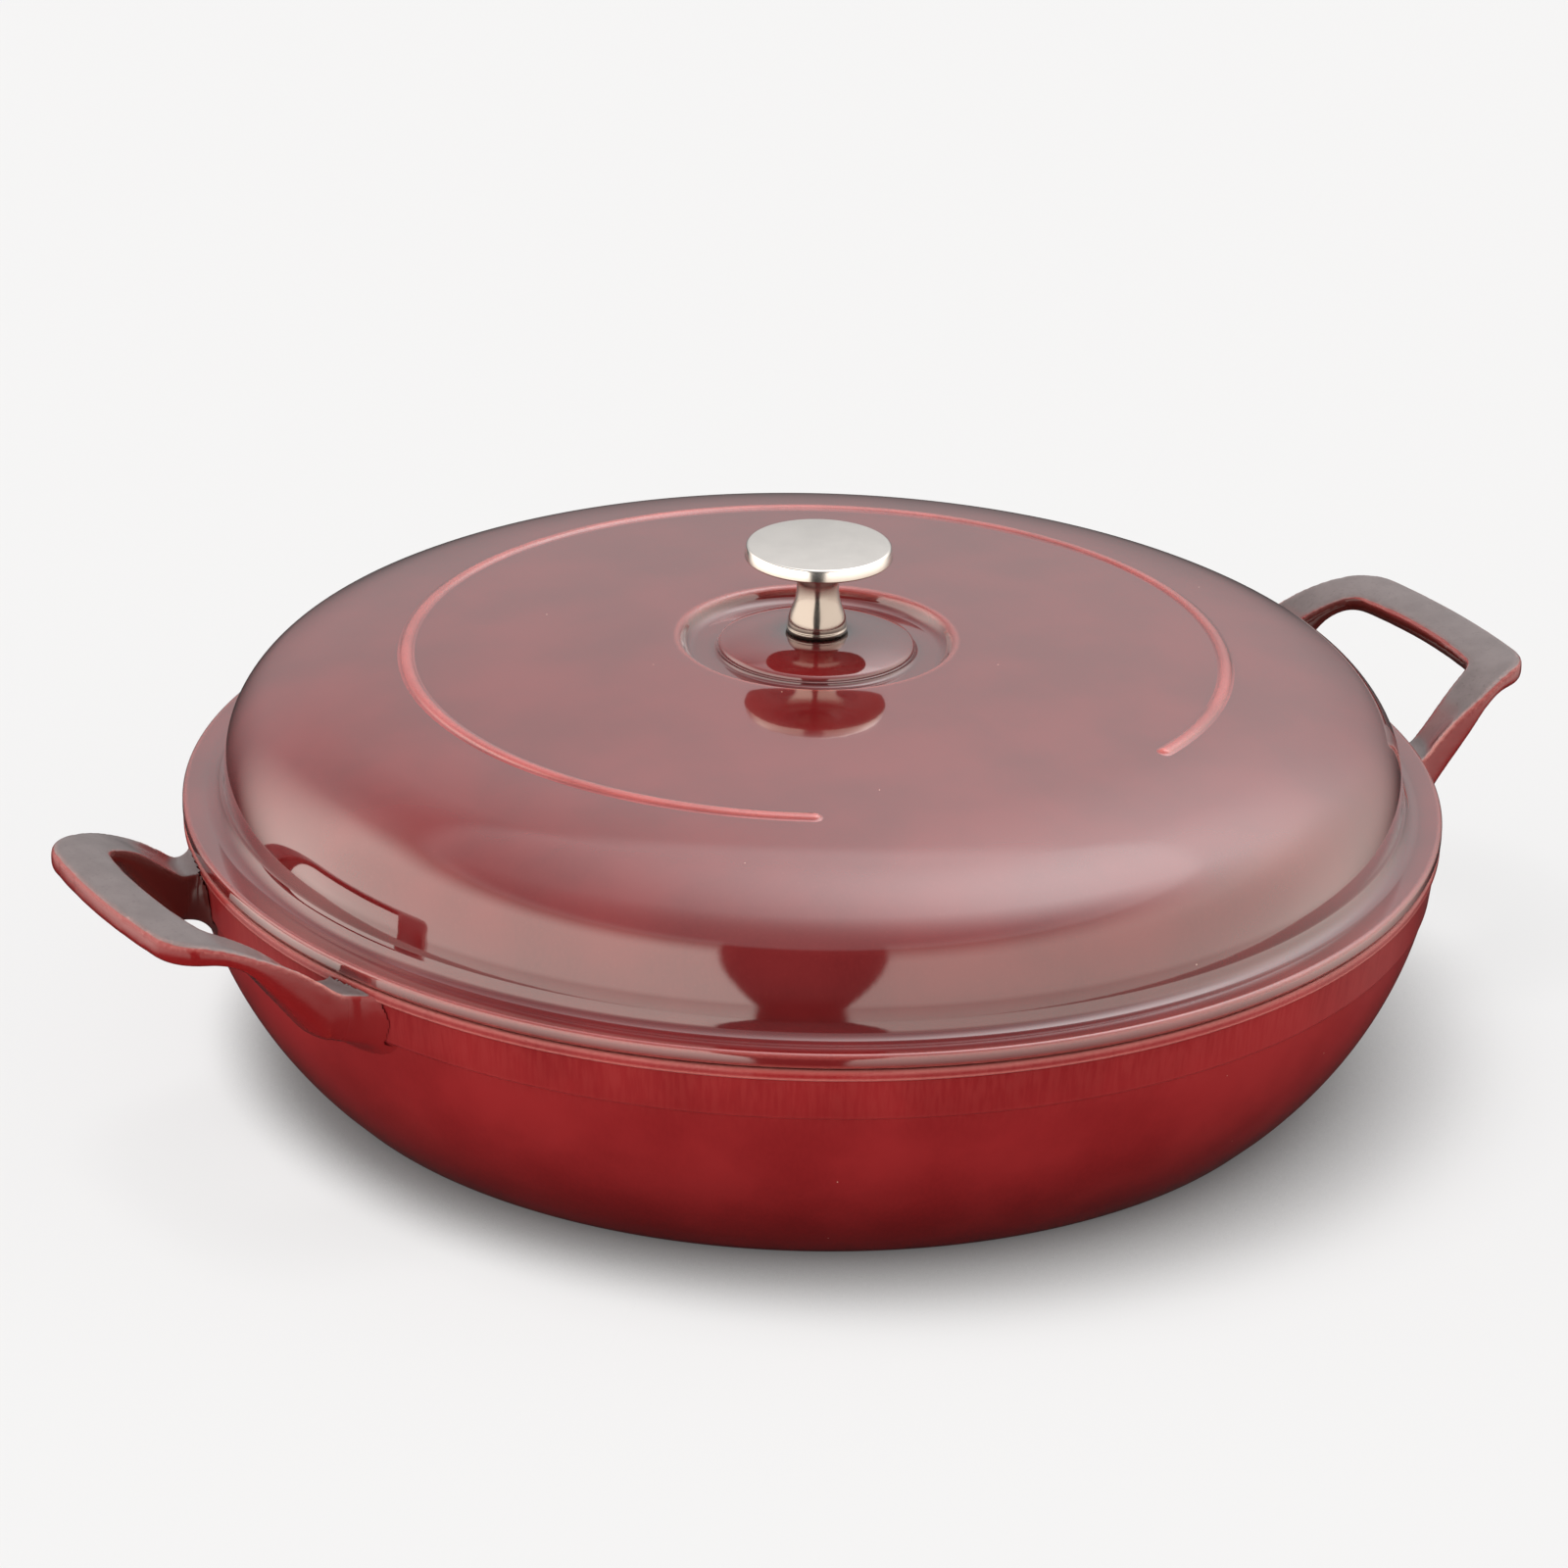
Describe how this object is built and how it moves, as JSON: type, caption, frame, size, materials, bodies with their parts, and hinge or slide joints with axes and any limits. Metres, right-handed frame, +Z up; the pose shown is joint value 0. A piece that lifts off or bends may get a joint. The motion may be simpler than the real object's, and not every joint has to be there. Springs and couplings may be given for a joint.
{
  "type": "braiser",
  "caption": "Shallow round cast braiser with two upswept loop handles, a domed lid with a raised ring, and a turned disc knob screwed on from below.",
  "frame": {"origin": "on the surface that the pot stands on, at the centre of its base", "axes": "+X through the middle of one handle, +Z up along the knob's axis, and -Y towards the front, where the lid's raised ring is open"},
  "size_m": [0.3768, 0.3002, 0.1254],
  "materials": {
    "pot_enamel": "cast iron under a glossy, translucent dark-red enamel outside and on the handles; matt black enamel inside and on the rim",
    "lid_enamel": "cast iron under a glossy, translucent dark-red enamel outside; matt black enamel underneath",
    "knob_metal": "polished nickel plate",
    "washer_metal": "plain stainless steel",
    "screw_metal": "plain stainless steel"
  },
  "bodies": {
    "pot": {"pot": "pot_enamel"},
    "lid": {"lid": "lid_enamel", "knob": "knob_metal", "screw_washer": "washer_metal", "knob_screw": "screw_metal"}
  },
  "joints": [
    {"name": "lid_lift", "type": "slide", "parent": "pot", "child": "lid", "axis": [0, 0, 1], "range_m": [0, 0.2]}
  ]
}
